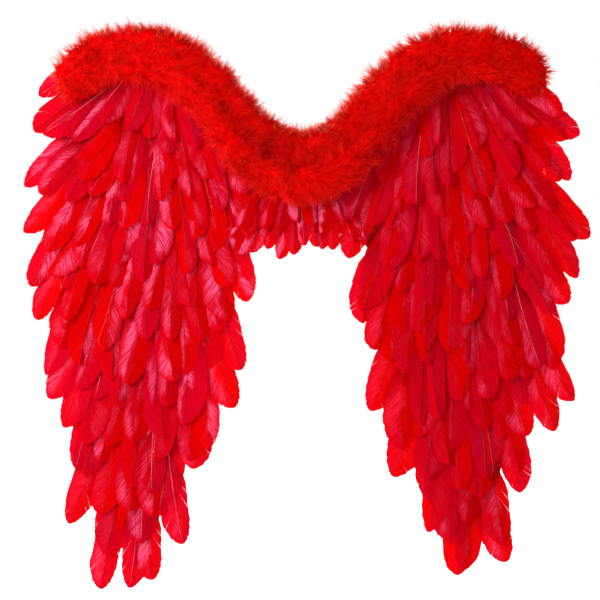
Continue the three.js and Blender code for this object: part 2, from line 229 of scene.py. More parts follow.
class Value:
    """One output socket of a node tree, so that maths on sockets reads as plain expressions."""

    def __init__(self, tree, socket):
        self.tree = tree
        self.socket = socket

    def __add__(self, other):
        return self.tree.maths("ADD", self, other)

    __radd__ = __add__

    def __sub__(self, other):
        return self.tree.maths("SUBTRACT", self, other)

    def __rsub__(self, other):
        return self.tree.maths("SUBTRACT", other, self)

    def __mul__(self, other):
        return self.tree.maths("MULTIPLY", self, other)

    __rmul__ = __mul__

    def __truediv__(self, other):
        return self.tree.maths("DIVIDE", self, other)

    def __pow__(self, other):
        return self.tree.maths("POWER", self, other)

    def __neg__(self):
        return self.tree.maths("MULTIPLY", self, -1)

    def step(self, low, high):
        """0 below low and 1 above high, with a smooth change between them"""
        return self.tree.node(
            "ShaderNodeMapRange",
            {"interpolation_type": "SMOOTHSTEP"},
            {"Value": self, "From Min": low, "From Max": high},
        )


class Tree:
    """A shader or geometry node tree that is built from plain calls."""

    def __init__(self, node_tree):
        self.node_tree = node_tree

    def node(self, kind, settings=None, sockets=None, output=0):
        """Adds a node: its settings first, then its sockets' values or links"""
        made = self.node_tree.nodes.new(kind)
        for name, value in (settings or {}).items():
            setattr(made, name, value)
        for name, value in (sockets or {}).items():
            self.feed(self.find(made.inputs, name), value)
        if isinstance(output, tuple):
            return [Value(self, self.find(made.outputs, name)) for name in output]
        return Value(self, self.find(made.outputs, output)) if len(made.outputs) else made

    def find(self, sockets, name):
        usable = [socket for socket in sockets if socket.enabled]
        if isinstance(name, int):
            return usable[name]
        return next(socket for socket in usable if socket.name == name)

    def feed(self, socket, value):
        if isinstance(value, list):
            for one in value:
                self.node_tree.links.new(one.socket, socket)
        elif isinstance(value, Value):
            self.node_tree.links.new(value.socket, socket)
        elif isinstance(value, tuple) and socket.type == "RGBA":
            socket.default_value = (*value, 1)
        else:
            socket.default_value = value

    def maths(self, operation, *values):
        return self.node("ShaderNodeMath", {"operation": operation}, dict(enumerate(values)))

    def vector_maths(self, operation, *values):
        return self.node("ShaderNodeVectorMath", {"operation": operation}, dict(enumerate(values)))

    def vector(self, x, y, z):
        return self.node("ShaderNodeCombineXYZ", None, {"X": x, "Y": y, "Z": z})

    def split(self, vector, parts):
        return self.node("ShaderNodeSeparateXYZ", None, {0: vector}, parts)

    def blend(self, factor, first, second):
        """Colour that goes from first to second"""
        sockets = {"Factor": factor, "A": first, "B": second}
        return self.node("ShaderNodeMix", {"data_type": "RGBA"}, sockets, "Result")

    def noise(self, vector, scale, detail=2.0, roughness=0.5, output="Fac"):
        sockets = {"Vector": vector, "Scale": scale, "Detail": detail, "Roughness": roughness}
        return self.node("ShaderNodeTexNoise", None, sockets, output)


class Finish(Tree):
    """A material with one Principled shader. constants are its sockets that don't vary."""

    def __init__(self, name, constants):
        self.material = bpy.data.materials.new(name)
        self.material.use_nodes = True
        super().__init__(self.material.node_tree)
        self.shader = self.node_tree.nodes["Principled BSDF"]
        self.shade(constants)

    def shade(self, sockets):
        for name, value in sockets.items():
            self.feed(self.shader.inputs[name], value)

    def bump(self, height, depth, strength=1.0):
        """Relief of this height, in shares of a depth in metres"""
        sockets = {"Height": height, "Distance": depth, "Strength": strength}
        self.shade({"Normal": self.node("ShaderNodeBump", None, sockets)})

    def let_light_through(self, *glows):
        """Thin feathers glow a little when light comes from behind. glows are colours and shares."""
        surface = Value(self, self.shader.outputs[0])
        for colour, share in glows:
            glow = self.node("ShaderNodeBsdfTranslucent", None, {"Color": colour})
            surface = self.node("ShaderNodeMixShader", None, {0: share, 1: surface, 2: glow})
        self.feed(self.node_tree.nodes["Material Output"].inputs["Surface"], surface)

    def attribute(self, name, output="Fac"):
        return self.node("ShaderNodeAttribute", {"attribute_name": name}, output=output)

    def on_object(self):
        return self.node("ShaderNodeTexCoord", output="Object")

    def on_map(self, name):
        return self.node("ShaderNodeUVMap", {"uv_map": name})


class GeometryTree(Tree):
    """A geometry tree with named inputs, which given holds as values."""

    def __init__(self, name, inputs):
        super().__init__(bpy.data.node_groups.new(name, "GeometryNodeTree"))
        sockets = self.node_tree.interface
        for kind, labels in inputs.items():
            for label in labels:
                sockets.new_socket(label, in_out="INPUT", socket_type="NodeSocket" + kind)
        sockets.new_socket("Geometry", in_out="OUTPUT", socket_type="NodeSocketGeometry")
        labels = tuple(label for group in inputs.values() for label in group)
        self.given = dict(zip(labels, self.node("NodeGroupInput", output=labels)))

    def chance(self, low, high, seed, kind="FLOAT"):
        """A random value for each point or instance"""
        index = self.node("GeometryNodeInputIndex")
        sockets = {"Min": low, "Max": high, "ID": index, "Seed": seed}
        return self.node("FunctionNodeRandomValue", {"data_type": kind}, sockets)

    def turn(self, x, y, z):
        return self.node("FunctionNodeEulerToRotation", None, {0: self.vector(x, y, z)})

    def plant(self, points, collection, sockets):
        """One of the collection's pieces on each point"""
        kinds = self.node(
            "GeometryNodeCollectionInfo",
            None,
            {"Collection": collection, "Separate Children": True, "Reset Children": True},
        )
        shared = {"Points": points, "Instance": kinds, "Pick Instance": True}
        return self.node("GeometryNodeInstanceOnPoints", None, {**shared, **sockets})

    def store(self, geometry, name, value, kind="FLOAT", domain="INSTANCE"):
        """Keeps a value on the geometry, for materials and for stored"""
        return self.node(
            "GeometryNodeStoreNamedAttribute",
            {"data_type": kind, "domain": domain},
            {"Geometry": geometry, "Name": name, "Value": value},
        )

    def stored(self, name, kind="FLOAT"):
        return self.node("GeometryNodeInputNamedAttribute", {"data_type": kind}, {"Name": name})

    def real(self, geometry):
        """Joined pieces with their instances made real"""
        if isinstance(geometry, list):
            geometry = self.node("GeometryNodeJoinGeometry", None, {"Geometry": geometry})
        return self.node("GeometryNodeRealizeInstances", None, {"Geometry": geometry})

    def end(self, geometry, material, marked=()):
        """Ends the tree with one material all over and others where a mark is stored"""
        sockets = {"Geometry": geometry, "Material": material}
        dressed = self.node("GeometryNodeSetMaterial", None, sockets)
        for mark, other in marked:
            where = self.stored(mark, "BOOLEAN")
            sockets = {"Geometry": dressed, "Selection": where, "Material": other}
            dressed = self.node("GeometryNodeSetMaterial", None, sockets)
        self.node("NodeGroupOutput", None, {0: dressed})
        return self.node_tree


# Materials


def dimmed(colour, share):
    return tuple(share * part for part in colour)


def vane_material():
    """Dyed feather vane: barb lines, painted shade towards the root and between the barbs, and a pink
    painted sheen (a painted highlight) on the half that faces the key light
    """
    vane = Finish("dyed_vane", {"Specular IOR Level": 0.0})
    across, along = vane.split(vane.on_map("vane"), ("X", "Y"))
    across = across * 2 - 1
    outwards = vane.maths("ABSOLUTE", across)
    tone = vane.attribute("tone")

    def streaks(wide, long, own, detail=2.0, roughness=0.5):
        """Noise with this many changes across and along a feather, and its own for each tone"""
        place = vane.vector(across * wide, along * long, tone * own)
        return vane.noise(place, 1.0, detail, roughness)

    barbs = streaks(1.6, 58, 40, 2.0, 0.6).step(0.38, 0.6)
    fine = streaks(1.5, 150, 90, 1.0)
    patch = streaks(0.9, 3.2, 70)
    drift = streaks(0.0, 2.5, 55) - 0.5

    # Painted highlight: lit_half is the vane's half that faces the key light; on some feathers it is turned
    # to the other side.
    turned = 1 - 2 * vane.maths("GREATER_THAN", vane.maths("FRACT", tone * 7.3), 0.72)
    lit_half = 1 - (across * turned + drift * 1.7).step(-0.22, 0.14)
    inner = 1 - outwards.step(0.55, 1.05)
    middle = along.step(0.18, 0.5) * (1 - along.step(0.78, 0.97))
    # Painted sheen: pink on the lit half, in patches along the barb lines, as much as the feather's painted
    # sheen share.
    painted_sheen = lit_half * inner * middle * patch.step(0.38, 0.62)
    painted_sheen = painted_sheen * (0.08 + 0.92 * barbs) * vane.attribute("gloss")
    # A faint painted sheen on the barbs of the other half too.
    far_half = (1 - lit_half) * (1 - outwards.step(0.1, 0.5)) * patch.step(0.5, 0.75)
    painted_sheen = painted_sheen + far_half * barbs * 0.2

    dye_and_painted_light = vane.blend(tone.step(0.35, 1.0) * 0.75, SCARLET, CRIMSON)
    # Painted light: the half that faces the key light is tinted crimson.
    dye_and_painted_light = vane.blend(lit_half * 0.4, dye_and_painted_light, CRIMSON)
    # Painted shade: darker towards the root, under the feathers that overlap it.
    dye_and_painted_light = vane.blend((1 - along.step(0.0, 0.42)) * 0.6, dye_and_painted_light, VANE_PAINTED_SHADE)
    # Painted shade in the grooves between the barbs.
    dye_and_painted_light = vane.blend((1 - barbs) * 0.16, dye_and_painted_light, VANE_PAINTED_SHADE)
    colour = vane.blend(painted_sheen, dye_and_painted_light, PAINTED_SHEEN_PINK)
    vane.shade({"Base Color": colour, "Roughness": 0.6 - 0.2 * barbs})
    vane.bump(barbs + fine * 0.6, 0.0006, 0.7)
    vane.let_light_through((VANE_GLOW, 0.17 + 0.16 * barbs))
    return vane.material


def quill_material():
    """Feather shaft: dyed red or dark by chance and faintly mottled; a few shafts carry a pale painted
    glint all along
    """
    quill = Finish("feather_shaft", {"Specular IOR Level": 0.04})
    mottle = quill.noise(quill.on_object(), 60.0).step(0.38, 0.7)
    tone = quill.attribute("tone")
    dark = quill.blend(tone.step(0.45, 0.55), QUILL_DYED, QUILL_DARK)
    # Painted glint: a few shafts pale all along, and the mottle a little paler everywhere.
    pale = tone.step(0.84, 0.88) * (0.35 + 0.5 * mottle) + mottle * 0.05
    colour = quill.blend(pale, dark, QUILL_PAINTED_GLINT)
    quill.shade({"Base Color": colour, "Roughness": 0.35 + 0.2 * mottle})
    quill.bump(mottle, 0.0002)
    return quill.material


def fluff_material(name, tip, soft):
    """Marabou down: painted shade, deep red, between the plumes and near the barbs' roots, and a painted
    glow, paler, towards the ends of the barbs and on the rim's tips. Soft down takes light as the core
    under it does, whichever way its barbs face."""
    fluff = Finish(name, {"Specular IOR Level": 0.02})
    reach = fluff.attribute("reach")
    tone = fluff.attribute("tone")
    spot = fluff.on_object()
    # Painted shade: darker in clumps and hollows of noise and towards the barbs' roots; the tone varies by
    # chance.
    painted_clump_shade = fluff.noise(spot, 55.0, 3.0, 0.6).step(0.34, 0.6)
    painted_hollow_shade = fluff.noise(spot, 17.0).step(0.3, 0.56)
    full = (0.45 + 0.55 * painted_clump_shade) * (0.45 + 0.55 * painted_hollow_shade) * (0.72 + 0.28 * tone)
    colour = fluff.blend(0.25 * reach + 0.85 * full, FLUFF_PAINTED_SHADE, FLUFF_RED)
    # Painted glow: the barbs' ends paler, as light comes through them.
    colour = fluff.blend(reach.step(0.5, 1.0) * (0.15 + 0.45 * tone), colour, tip)
    # Painted glow: the rim's coarse tips paler still, as if lit from behind.
    pale = fluff.attribute("pale") * (0.25 + 0.6 * tone)
    colour = fluff.blend(pale, colour, FLUFF_PAINTED_RIM_GLOW)
    fluff.shade({"Base Color": colour, "Roughness": 0.95 - 0.2 * tone})
    if soft:
        own = fluff.node("ShaderNodeNewGeometry", output="Normal")
        own = fluff.vector_maths("SCALE", own, 0.3)
        lie = fluff.vector_maths("ADD", own, fluff.attribute("lie", "Vector"))
        fluff.shade({"Normal": fluff.vector_maths("NORMALIZE", lie)})
    fluff.let_light_through((FLUFF_RED, 0.4), (FLUFF_PAINTED_RIM_GLOW, 0.45 * pale))
    return fluff.material


def felt_material(name, colour):
    """Pressed felt: short fibres lying every way, with faint mottling"""
    constants = {"Specular IOR Level": 0.05, "Sheen Weight": 0.06, "Sheen Roughness": 0.5}
    felt = Finish(name, constants)
    spot = felt.on_object()
    stretched = felt.vector_maths("MULTIPLY", spot, (1, 1, 0.35))
    fibre = felt.noise(stretched, 900.0, 3.0, 0.7)
    crossing = felt.noise(spot, 1500.0, 2.0, 0.6)
    mottle = felt.noise(spot, 30.0, 4.0)
    paler = tuple(min(1, 1.35 * part + 0.01) for part in colour)
    shade = felt.blend(fibre.step(0.35, 0.65), dimmed(colour, 0.55), colour)
    shade = felt.blend(mottle.step(0.3, 0.8) * 0.16, shade, paler)
    felt.shade({"Base Color": shade, "Roughness": 0.9 + 0.1 * fibre})
    felt.bump(fibre + crossing * 0.6, 0.0004, 0.8)
    return felt.material


def elastic_material():
    """Ribbed elastic webbing: cords along its length, picks across it"""
    elastic = Finish("ribbed_elastic", {"Specular IOR Level": 0.08, "Sheen Weight": 0.02})
    place = elastic.on_map("strap")
    across, along = elastic.split(place, ("X", "Y"))
    cord_count, pick_pitch = 14, 1.1
    cords = elastic.maths("SINE", across * (2 * math.pi * cord_count)) * 0.5 + 0.5
    picks = elastic.maths("SINE", along * (2 * math.pi / pick_pitch) + cords * 1.5) * 0.5 + 0.5
    weave = cords * (0.55 + 0.45 * picks)
    worn = elastic.noise(place, 0.35, 3.0).step(0.4, 0.7)
    shade = elastic.blend(weave, dimmed(ELASTIC_RED, 0.5), ELASTIC_RED)
    shade = elastic.blend(worn * 0.25, shade, THREAD_RED)
    elastic.shade({"Base Color": shade, "Roughness": 0.82 - 0.15 * weave})
    elastic.bump(weave, 0.0005, 0.9)
    return elastic.material


def thread_material():
    """Twisted sewing thread"""
    thread = Finish("sewing_thread", {"Specular IOR Level": 0.4})
    twist = thread.node(
        "ShaderNodeTexWave",
        {"bands_direction": "DIAGONAL"},
        {"Vector": thread.on_object(), "Scale": 700.0, "Distortion": 1.0},
        "Fac",
    )
    shade = thread.blend(twist, dimmed(THREAD_RED, 0.5), THREAD_RED)
    thread.shade({"Base Color": shade, "Roughness": 0.75 - 0.25 * twist})
    thread.bump(twist, 0.0002)
    return thread.material


VANE = vane_material()
SHAFT = quill_material()
FLUFF = fluff_material("marabou_down", FLUFF_PAINTED_TIP_GLOW, True)
FLUFF_CORE = fluff_material("marabou_roots", FLUFF_RED, False)
FELT = felt_material("backing_felt", FELT_RED)
# Painted shade: the tape is a darker copy of the boards' felt.
TAPE = felt_material("fringe_tape", TAPE_RED_PAINTED_SHADE)
ELASTIC = elastic_material()
THREAD = thread_material()


# Meshes


def add_object(name, data):
    made = bpy.data.objects.new(name, data)
    bpy.context.scene.collection.objects.link(made)
    return made


def new_mesh(name, points, edges, faces, *materials):
    """A mesh from points in millimetres"""
    mesh = bpy.data.meshes.new(name)
    mesh.from_pydata((np.asarray(points, float) * MM).tolist(), edges, faces)
    for material in materials:
        mesh.materials.append(material)
    return mesh


def smooth(mesh):
    mesh.polygons.foreach_set("use_smooth", [True] * len(mesh.polygons))


def write_map(mesh, name, places):
    """A UV map from a place for each point"""
    layer = mesh.uv_layers.new(name=name)
    corners = np.array([places[loop.vertex_index] for loop in mesh.loops])
    layer.data.foreach_set("uv", corners.ravel())


def write_attribute(mesh, name, values, kind="FLOAT", domain="POINT"):
    mesh.attributes.new(name, kind, domain).data.foreach_set("value", values)


def face_outwards(mesh):
    bm = bmesh.new()
    bm.from_mesh(mesh)
    bmesh.ops.recalc_face_normals(bm, faces=bm.faces)
    bm.to_mesh(mesh)
    bm.free()


def catmull_rom(points, per_span):
    """Points on a smooth curve through the given ones, as in the solids"""
    points = np.asarray(points, float)
    last = len(points) - 1
    places = []
    for i in range(last * per_span + 1):
        span = min(i // per_span, last - 1)
        t = i / per_span - span
        before = points[max(span - 1, 0)]
        here = points[span]
        after = points[span + 1]
        beyond = points[min(span + 2, last)]
        leave = (after - before) * 0.5
        arrive = (beyond - here) * 0.5
        places.append(
            (2 * here - 2 * after + leave + arrive) * t**3
            + (-3 * here + 3 * after - 2 * leave - arrive) * t**2
            + leave * t
            + here
        )
    return np.array(places)


def bezier(start, first, second, end, steps=16):
    t = np.linspace(0, 1, steps + 1)[:, None]
    start, first, second, end = (np.asarray(p, float) for p in (start, first, second, end))
    return (
        (1 - t) ** 3 * start
        + 3 * (1 - t) ** 2 * t * first
        + 3 * (1 - t) * t**2 * second
        + t**3 * end
    )


def square_to(along):
    """Unit vectors a quarter turn to the left of these"""
    along = along / np.linalg.norm(along, axis=1)[:, None]
    return np.stack([-along[:, 1], along[:, 0]], 1)


def plan_points(side, rows):
    """Points of the wings' plane from a table of shares"""
    return [
        (side * row["across"] * HALF_SPAN, TOP_ABOVE_PAD - row["down"] * WING_HEIGHT)
        for row in rows
    ]


def station(table, share):
    """A table row read between its neighbours"""
    places = [row["at"] for row in table]
    return {key: float(np.interp(share, places, [row[key] for row in table])) for key in table[0]}


def grid_faces(rows, columns, first=0, close=False):
    """Quads of a grid whose points run along each row"""
    width = columns if close else columns - 1
    return [
        (
            first + i * columns + j,
            first + i * columns + (j + 1) % columns,
            first + (i + 1) * columns + (j + 1) % columns,
            first + (i + 1) * columns + j,
        )
        for i in range(rows - 1)
        for j in range(width)
    ]


def tube_faces(rings, sides, first=0):
    """Faces of a tube whose points run round each ring, closed at both ends"""
    last = first + sides * (rings - 1)
    ends = [tuple(range(first, first + sides))[::-1], tuple(range(last, last + sides))]
    return grid_faces(rings, sides, first, close=True) + ends


def collection_of(name, meshes):
    """A collection outside the scene, with an object for each mesh"""
    group = bpy.data.collections.new(name)
    for mesh in meshes:
        group.objects.link(bpy.data.objects.new(mesh.name, mesh))
    return group


def grow(name, tree, settings, base=None):
    """Runs a geometry tree with these inputs and keeps its result as a plain mesh object"""
    carrier = add_object(name + "_carrier", base or bpy.data.meshes.new(name + "_carrier"))
    modifier = carrier.modifiers.new("grow", "NODES")
    modifier.node_group = tree
    for socket in tree.interface.items_tree:
        if socket.in_out == "INPUT" and socket.name in settings:
            modifier[socket.identifier] = settings[socket.name]
    bpy.context.view_layer.update()
    graph = bpy.context.evaluated_depsgraph_get()
    mesh = bpy.data.meshes.new_from_object(carrier.evaluated_get(graph))
    mesh.name = name
    carrier.modifiers.remove(modifier)
    bpy.data.objects.remove(carrier)
    return add_object(name, mesh)


def finish_piece(piece, slot, *nodes):
    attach(piece, "root")
    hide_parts(*nodes)


# Feathers


def vane_half_width(s, bare, roundness):
    """Half width of a vane at a share of the shaft: slim at first, then full up to a round end"""
    s = np.clip((s - bare) / (1 - bare), 0, 1)
    rise = np.clip(s / 0.42, 0, 1)
    rise = 0.22 + 0.78 * rise * rise * (3 - 2 * rise)
    return VANE_WIDTH / 2 * rise * (1 - np.clip((s - 0.5) / 0.5, 0, 1) ** roundness) ** 0.62


def barb_length(start, angle, bare, roundness):
    """How far a barb runs from the shaft before it meets the vane's outline"""
    low, high = 0.0, (1 - start) * VANE_LENGTH / math.cos(angle)
    halvings = 24
    for _ in range(halvings):
        middle = (low + high) / 2
        s = start + middle * math.cos(angle) / VANE_LENGTH
        if middle * math.sin(angle) < vane_half_width(s, bare, roundness):
            low = middle
        else:
            high = middle
    return low


def shaft_points(line, radii, sides, first_angle=0.0, lift=0.0):
    """Rings of points along a shaft's middle line"""
    points = []
    for middle, radius in zip(line, radii):
        for turn in range(sides):
            angle = first_angle + turn * 2 * math.pi / sides
            points.append(middle + [radius * math.cos(angle), radius * math.sin(angle) + lift, 0])
    return points


def feather_kind(index, bare):
    """One feather: two vanes of barbs swept towards the tip, with splits, on a shaft that is bare
    up to a share of its length"""
    rng = np.random.default_rng(FEATHER_SEED + index)
    bend = rng.uniform(-8, 8)
    sway = rng.uniform(-2, 2)
    camber = rng.uniform(2.2, 3.8)
    curl = rng.uniform(-1.0, 4.0)
    roundness = rng.uniform(2.8, 4.6)
    points, faces, places = [], [], []

    def shaft_at(s):
        sideways = bend * s**2 + sway * math.sin(math.pi * s)
        return np.array([sideways, -curl * s**3 + 0.8 * math.sin(2.5 * s), -s * VANE_LENGTH])

    for side in (-1, 1):
        fullness = rng.uniform(0.78, 1.0)
        # Towards the tip the barbs stand closer together and lie nearer to the shaft.
        starts = bare + (0.992 - bare) * (1 - (1 - np.linspace(0, 1, BARBS + 1)) ** 1.35)
        angles = np.radians(np.linspace(40, 27, BARBS + 1) + rng.uniform(-1.5, 1.5, BARBS + 1))
        ragged = 1 - 0.08 * rng.random(BARBS + 1)
        ripple = rng.uniform(0, 6, 2)
        splits = sorted(rng.choice(np.arange(6, BARBS - 6), rng.integers(1, 3), replace=False))
        edges = [0, *splits, BARBS]
        for low, high in zip(edges, edges[1:]):
            first = len(points)
            shift = rng.uniform(-0.4, 0.4)
            for i in range(low, high + 1):
                slip = 0.0
                if i == low and low:
                    slip = rng.uniform(0.05, 0.35)
                if i == high and high < BARBS:
                    slip = -rng.uniform(0.05, 0.35)
                length = barb_length(starts[i], angles[i], bare, roundness) * ragged[i]
                wave = 0.5 * math.sin(6 * starts[i] + ripple[0]) + shift
                for j in range(BARB_STEPS + 1):
                    t = j / BARB_STEPS
                    spot = shaft_at(starts[i])
                    spot[0] += side * length * math.sin(angles[i]) * t * fullness
                    spot[2] -= length * math.cos(angles[i]) * t**1.15 + slip * t**5
                    spot[1] += camber * (0.6 * t + 0.4 * t**3) * min(1, length / 18) + wave * t**2
                    points.append(spot)
                    places.append((0.5 + 0.5 * side * t, starts[i]))
            made = grid_faces(high - low + 1, BARB_STEPS + 1, first)
            faces += made if side < 0 else [face[::-1] for face in made]
    rings, sides = 9, 4
    shares = [-0.06 + 1.01 * i / (rings - 1) for i in range(rings)]
    radii = [0.42 * (1 - 0.65 * max(s, 0)) for s in shares]
    shaft_faces = tube_faces(rings, sides, len(points))
    points += shaft_points([shaft_at(s) for s in shares], radii, sides, math.pi / 4, -0.2)
    places += [(0.5, max(s, 0)) for s in shares for _ in range(sides)]
    mesh = new_mesh(f"feather_kind_{index:02d}", points, [], faces + shaft_faces, VANE, SHAFT)
    write_map(mesh, "vane", places)
    is_shaft = [False] * len(faces) + [True] * len(shaft_faces)
    write_attribute(mesh, "shaft", is_shaft, "BOOLEAN", "FACE")
    smooth(mesh)
    return mesh


def stray_quill(index):
    """A thin bare shaft with a few barbs left near its end"""
    rng = np.random.default_rng(QUILL_SEED + index)
    bend = rng.uniform(-16, 16)

    def shaft_at(s):
        return np.array([bend * s**2, -2 - 2.5 * s, -s * VANE_LENGTH * 0.9])

    rings, sides = 12, 3
    shares = [i / (rings - 1) for i in range(rings)]
    radii = [0.4 * (1 - 0.7 * s) for s in shares]
    points = shaft_points([shaft_at(s) for s in shares], radii, sides)
    faces = tube_faces(rings, sides)
    barb_count = 4
    for _ in range(barb_count):
        s = rng.uniform(0.55, 0.98)
        side = rng.choice((-1, 1))
        length = rng.uniform(3, 9)
        first = len(points)
        root = shaft_at(s)
        points += [root, root + [0, 0, -0.5], root + [side * length * 0.5, -0.6, -length]]
        faces.append((first, first + 1, first + 2))
    mesh = new_mesh(f"stray_quill_{index}", points, [], faces, VANE, SHAFT)
    write_attribute(mesh, "shaft", [True] * len(faces), "BOOLEAN", "FACE")
    smooth(mesh)
    return mesh


def fringe_row_tree():
    """A row of fringe on an arc round a fan's centre: a sewn tape and feathers that splay from it"""
    sizes = ("Fan Across", "Fan Above", "Root Radius", "Length Scale", "Width Scale", "Depth")
    angles = ("Outer Angle", "Inner Angle", "Tilt")
    inputs = {
        "Collection": ("Feathers", "Strays"),
        "Int": ("Count", "Stray Count", "Seed"),
        "Float": ("Side", *sizes, *angles, "Gloss"),
    }
    tree = GeometryTree("fringe_row", inputs)
    given = tree.given
    seed = given["Seed"]
    index = tree.node("GeometryNodeInputIndex")

    def scatter(amount, salt):
        return tree.chance(-amount, amount, seed + salt)

    def on_arc(share, radius, depth):
        angle = given["Outer Angle"] + (given["Inner Angle"] - given["Outer Angle"]) * share
        x = given["Side"] * (given["Fan Across"] + radius * tree.maths("SINE", angle))
        z = given["Fan Above"] - radius * tree.maths("COSINE", angle)
        return angle, tree.vector(x, depth, z)

    def hang(count, place, kinds, sockets, angle, lean_chance, salt):
        """Feathers at this place of the arc, each leaning with its angle"""
        points = tree.node("GeometryNodePoints", None, {"Count": count, "Position": place})
        lean = angle * LEAN_GAIN + scatter(lean_chance, salt)
        turn = tree.turn(-given["Tilt"], -(given["Side"] * lean), 0.0)
        return tree.plant(points, kinds, {**sockets, "Rotation": turn})

    share = (index + scatter(0.3, 1)) / (given["Count"] - 1)
    radius = given["Root Radius"] + scatter(0.014, 2)
    depth = given["Depth"] - tree.maths("MODULO", index, 2) * 0.0015 + scatter(0.0003, 3)
    angle, place = on_arc(share, radius, depth)
    width = given["Width Scale"] * (1 + scatter(0.12, 5))
    length = given["Length Scale"] * (1.06 + scatter(0.13, 6))
    sockets = {
        "Instance Index": tree.chance(0, FEATHER_KINDS - 1, seed + 7, "INT"),
        "Scale": tree.vector(width, 1.0, length),
    }
    feathers = hang(given["Count"], place, given["Feathers"], sockets, angle, 0.13, 4)
    roll = tree.turn(0.0, 0.0, scatter(0.3, 8))
    sockets = {"Instances": feathers, "Rotation": roll}
    feathers = tree.node("GeometryNodeRotateInstances", None, sockets)

    share = tree.chance(0.15, 0.85, seed + 10)
    radius = given["Root Radius"] + tree.chance(-0.01, 0.03, seed + 11)
    angle, place = on_arc(share, radius, given["Depth"] - 0.002)
    sockets = {"Instance Index": tree.chance(0, STRAY_KINDS - 1, seed + 13, "INT")}
    strays = hang(given["Stray Count"], place, given["Strays"], sockets, angle, 0.2, 12)

    feathers = tree.node("GeometryNodeJoinGeometry", None, {"Geometry": [feathers, strays]})
    feathers = tree.store(feathers, "tone", tree.chance(0.0, 1.0, seed + 9))
    # Painted sheen share of each feather: by chance, times the row's.
    gloss = tree.chance(0.0, 1.2, seed + 14) ** 1.5 * given["Gloss"]
    feathers = tree.store(feathers, "gloss", gloss)

    tape_points, tape_thickness = 24, 0.6
    line = tree.node("GeometryNodeMeshLine", None, {"Count": tape_points})
    _, place = on_arc(index / (tape_points - 1), given["Root Radius"], given["Depth"] + 0.0001)
    line = tree.node("GeometryNodeSetPosition", None, {"Geometry": line, "Position": place})
    line = tree.node("GeometryNodeMeshToCurve", None, {"Mesh": line})
    sockets = {"Curve": line, "Normal": (0.0, 1.0, 0.0)}
    line = tree.node("GeometryNodeSetCurveNormal", {"mode": "FREE"}, sockets)
    sockets = {"Width": tape_thickness * MM, "Height": TAPE_WIDTH * MM}
    section = tree.node("GeometryNodeCurvePrimitiveQuadrilateral", None, sockets)
    sockets = {"Curve": line, "Profile Curve": section, "Fill Caps": True}
    tape = tree.node("GeometryNodeCurveToMesh", None, sockets)
    tape = tree.store(tape, "tape", True, "BOOLEAN", "FACE")

    row = tree.real([feathers, tape])
    x, y, z = tree.split(tree.node("GeometryNodeInputPosition"), ("X", "Y", "Z"))
    nearest = (BOARD_FRONT - PRESS_GAP) * MM
    pressed = tree.maths("MINIMUM", y, (y - nearest) * PRESS_SHARE + nearest)
    sockets = {"Geometry": row, "Position": tree.vector(x, pressed, z)}
    row = tree.node("GeometryNodeSetPosition", None, sockets)
    return tree.end(row, VANE, (("shaft", SHAFT), ("tape", TAPE)))


def sew_row(name, node, settings):
    """A row of fringe over its solid"""
    shared = {"Strays": stray_quills, "Depth": (BOARD_FRONT - ROOT_DEPTH) * MM}
    finish_piece(grow(name, fringe_row, {**shared, **settings}), "feather_vane", node)


full_feathers = collection_of(
    "full_feathers", [feather_kind(i, bare=0.05) for i in range(FEATHER_KINDS)]
)
rooted_feathers = collection_of(
    "rooted_feathers", [feather_kind(20 + i, bare=0.02) for i in range(FEATHER_KINDS)]
)
stray_quills = collection_of("stray_quills", [stray_quill(i) for i in range(STRAY_KINDS)])
fringe_row = fringe_row_tree()
for name, side in (("left", -1.0), ("right", 1.0)):
    for row in range(ROW_COUNT):
        share = row / (ROW_COUNT - 1)
        sizes = station(ROW_STATIONS, share)
        root_radius = FIRST_ROOT_RADIUS + share * (LAST_ROOT_RADIUS - FIRST_ROOT_RADIUS)
        outer, inner = math.radians(sizes["outer"]), math.radians(sizes["inner"])
        tip_arc = (outer - inner) * (root_radius + sizes["length"])
        at_top = row < TOP_ROWS
        settings = {
            "Feathers": rooted_feathers if at_top else full_feathers,
            "Stray Count": 3 if row < STRAY_ROWS else 1,
            "Side": side,
            "Fan Across": FAN_ACROSS * MM,
            "Fan Above": FAN_ABOVE * MM,
            "Root Radius": root_radius * MM,
            "Outer Angle": outer,
            "Inner Angle": inner,
            "Count": max(3, round(tip_arc / (TOP_PITCH if at_top else TIP_PITCH)) + 1),
            "Length Scale": sizes["length"] / VANE_LENGTH,
            "Width Scale": WIDTH_GAIN * sizes["width"] / VANE_WIDTH,
            "Tilt": math.atan2(LAYER_RISE, ROW_SPACING),
            "Gloss": LEFT_PAINTED_SHEEN if side < 0 else RIGHT_PAINTED_SHEEN,
            "Seed": 100 * row + (7 if side < 0 else 57),
        }
        number = f"{row + 1:02d}"
        sew_row(f"{name}_feathers_{number}", f"{name}_feather_row_{number}", settings)

for order, node in enumerate(("bridge_fringe_back", "bridge_fringe_front")):
    fringe_angle = math.radians(FRINGE_HALF_ANGLE - 2 * order)
    settings = {
        "Feathers": rooted_feathers,
        "Stray Count": 0,
        "Side": 1.0,
        "Fan Across": 0.0,
        "Fan Above": (FRINGE_FAN_ABOVE + FRINGE_SPACING * order) * MM,
        "Root Radius": FRINGE_FAN_RADIUS * MM,
        "Outer Angle": fringe_angle,
        "Inner Angle": -fringe_angle,
        "Count": FRINGE_FEATHERS - order,
        "Length Scale": 0.62,
        "Width Scale": 0.86,
        "Tilt": math.atan2(LAYER_RISE, FRINGE_SPACING),
        "Gloss": FRINGE_PAINTED_SHEEN,
        "Seed": 9000 + order,
    }
    sew_row(node + "_feathers", node, settings)


# Marabou trim


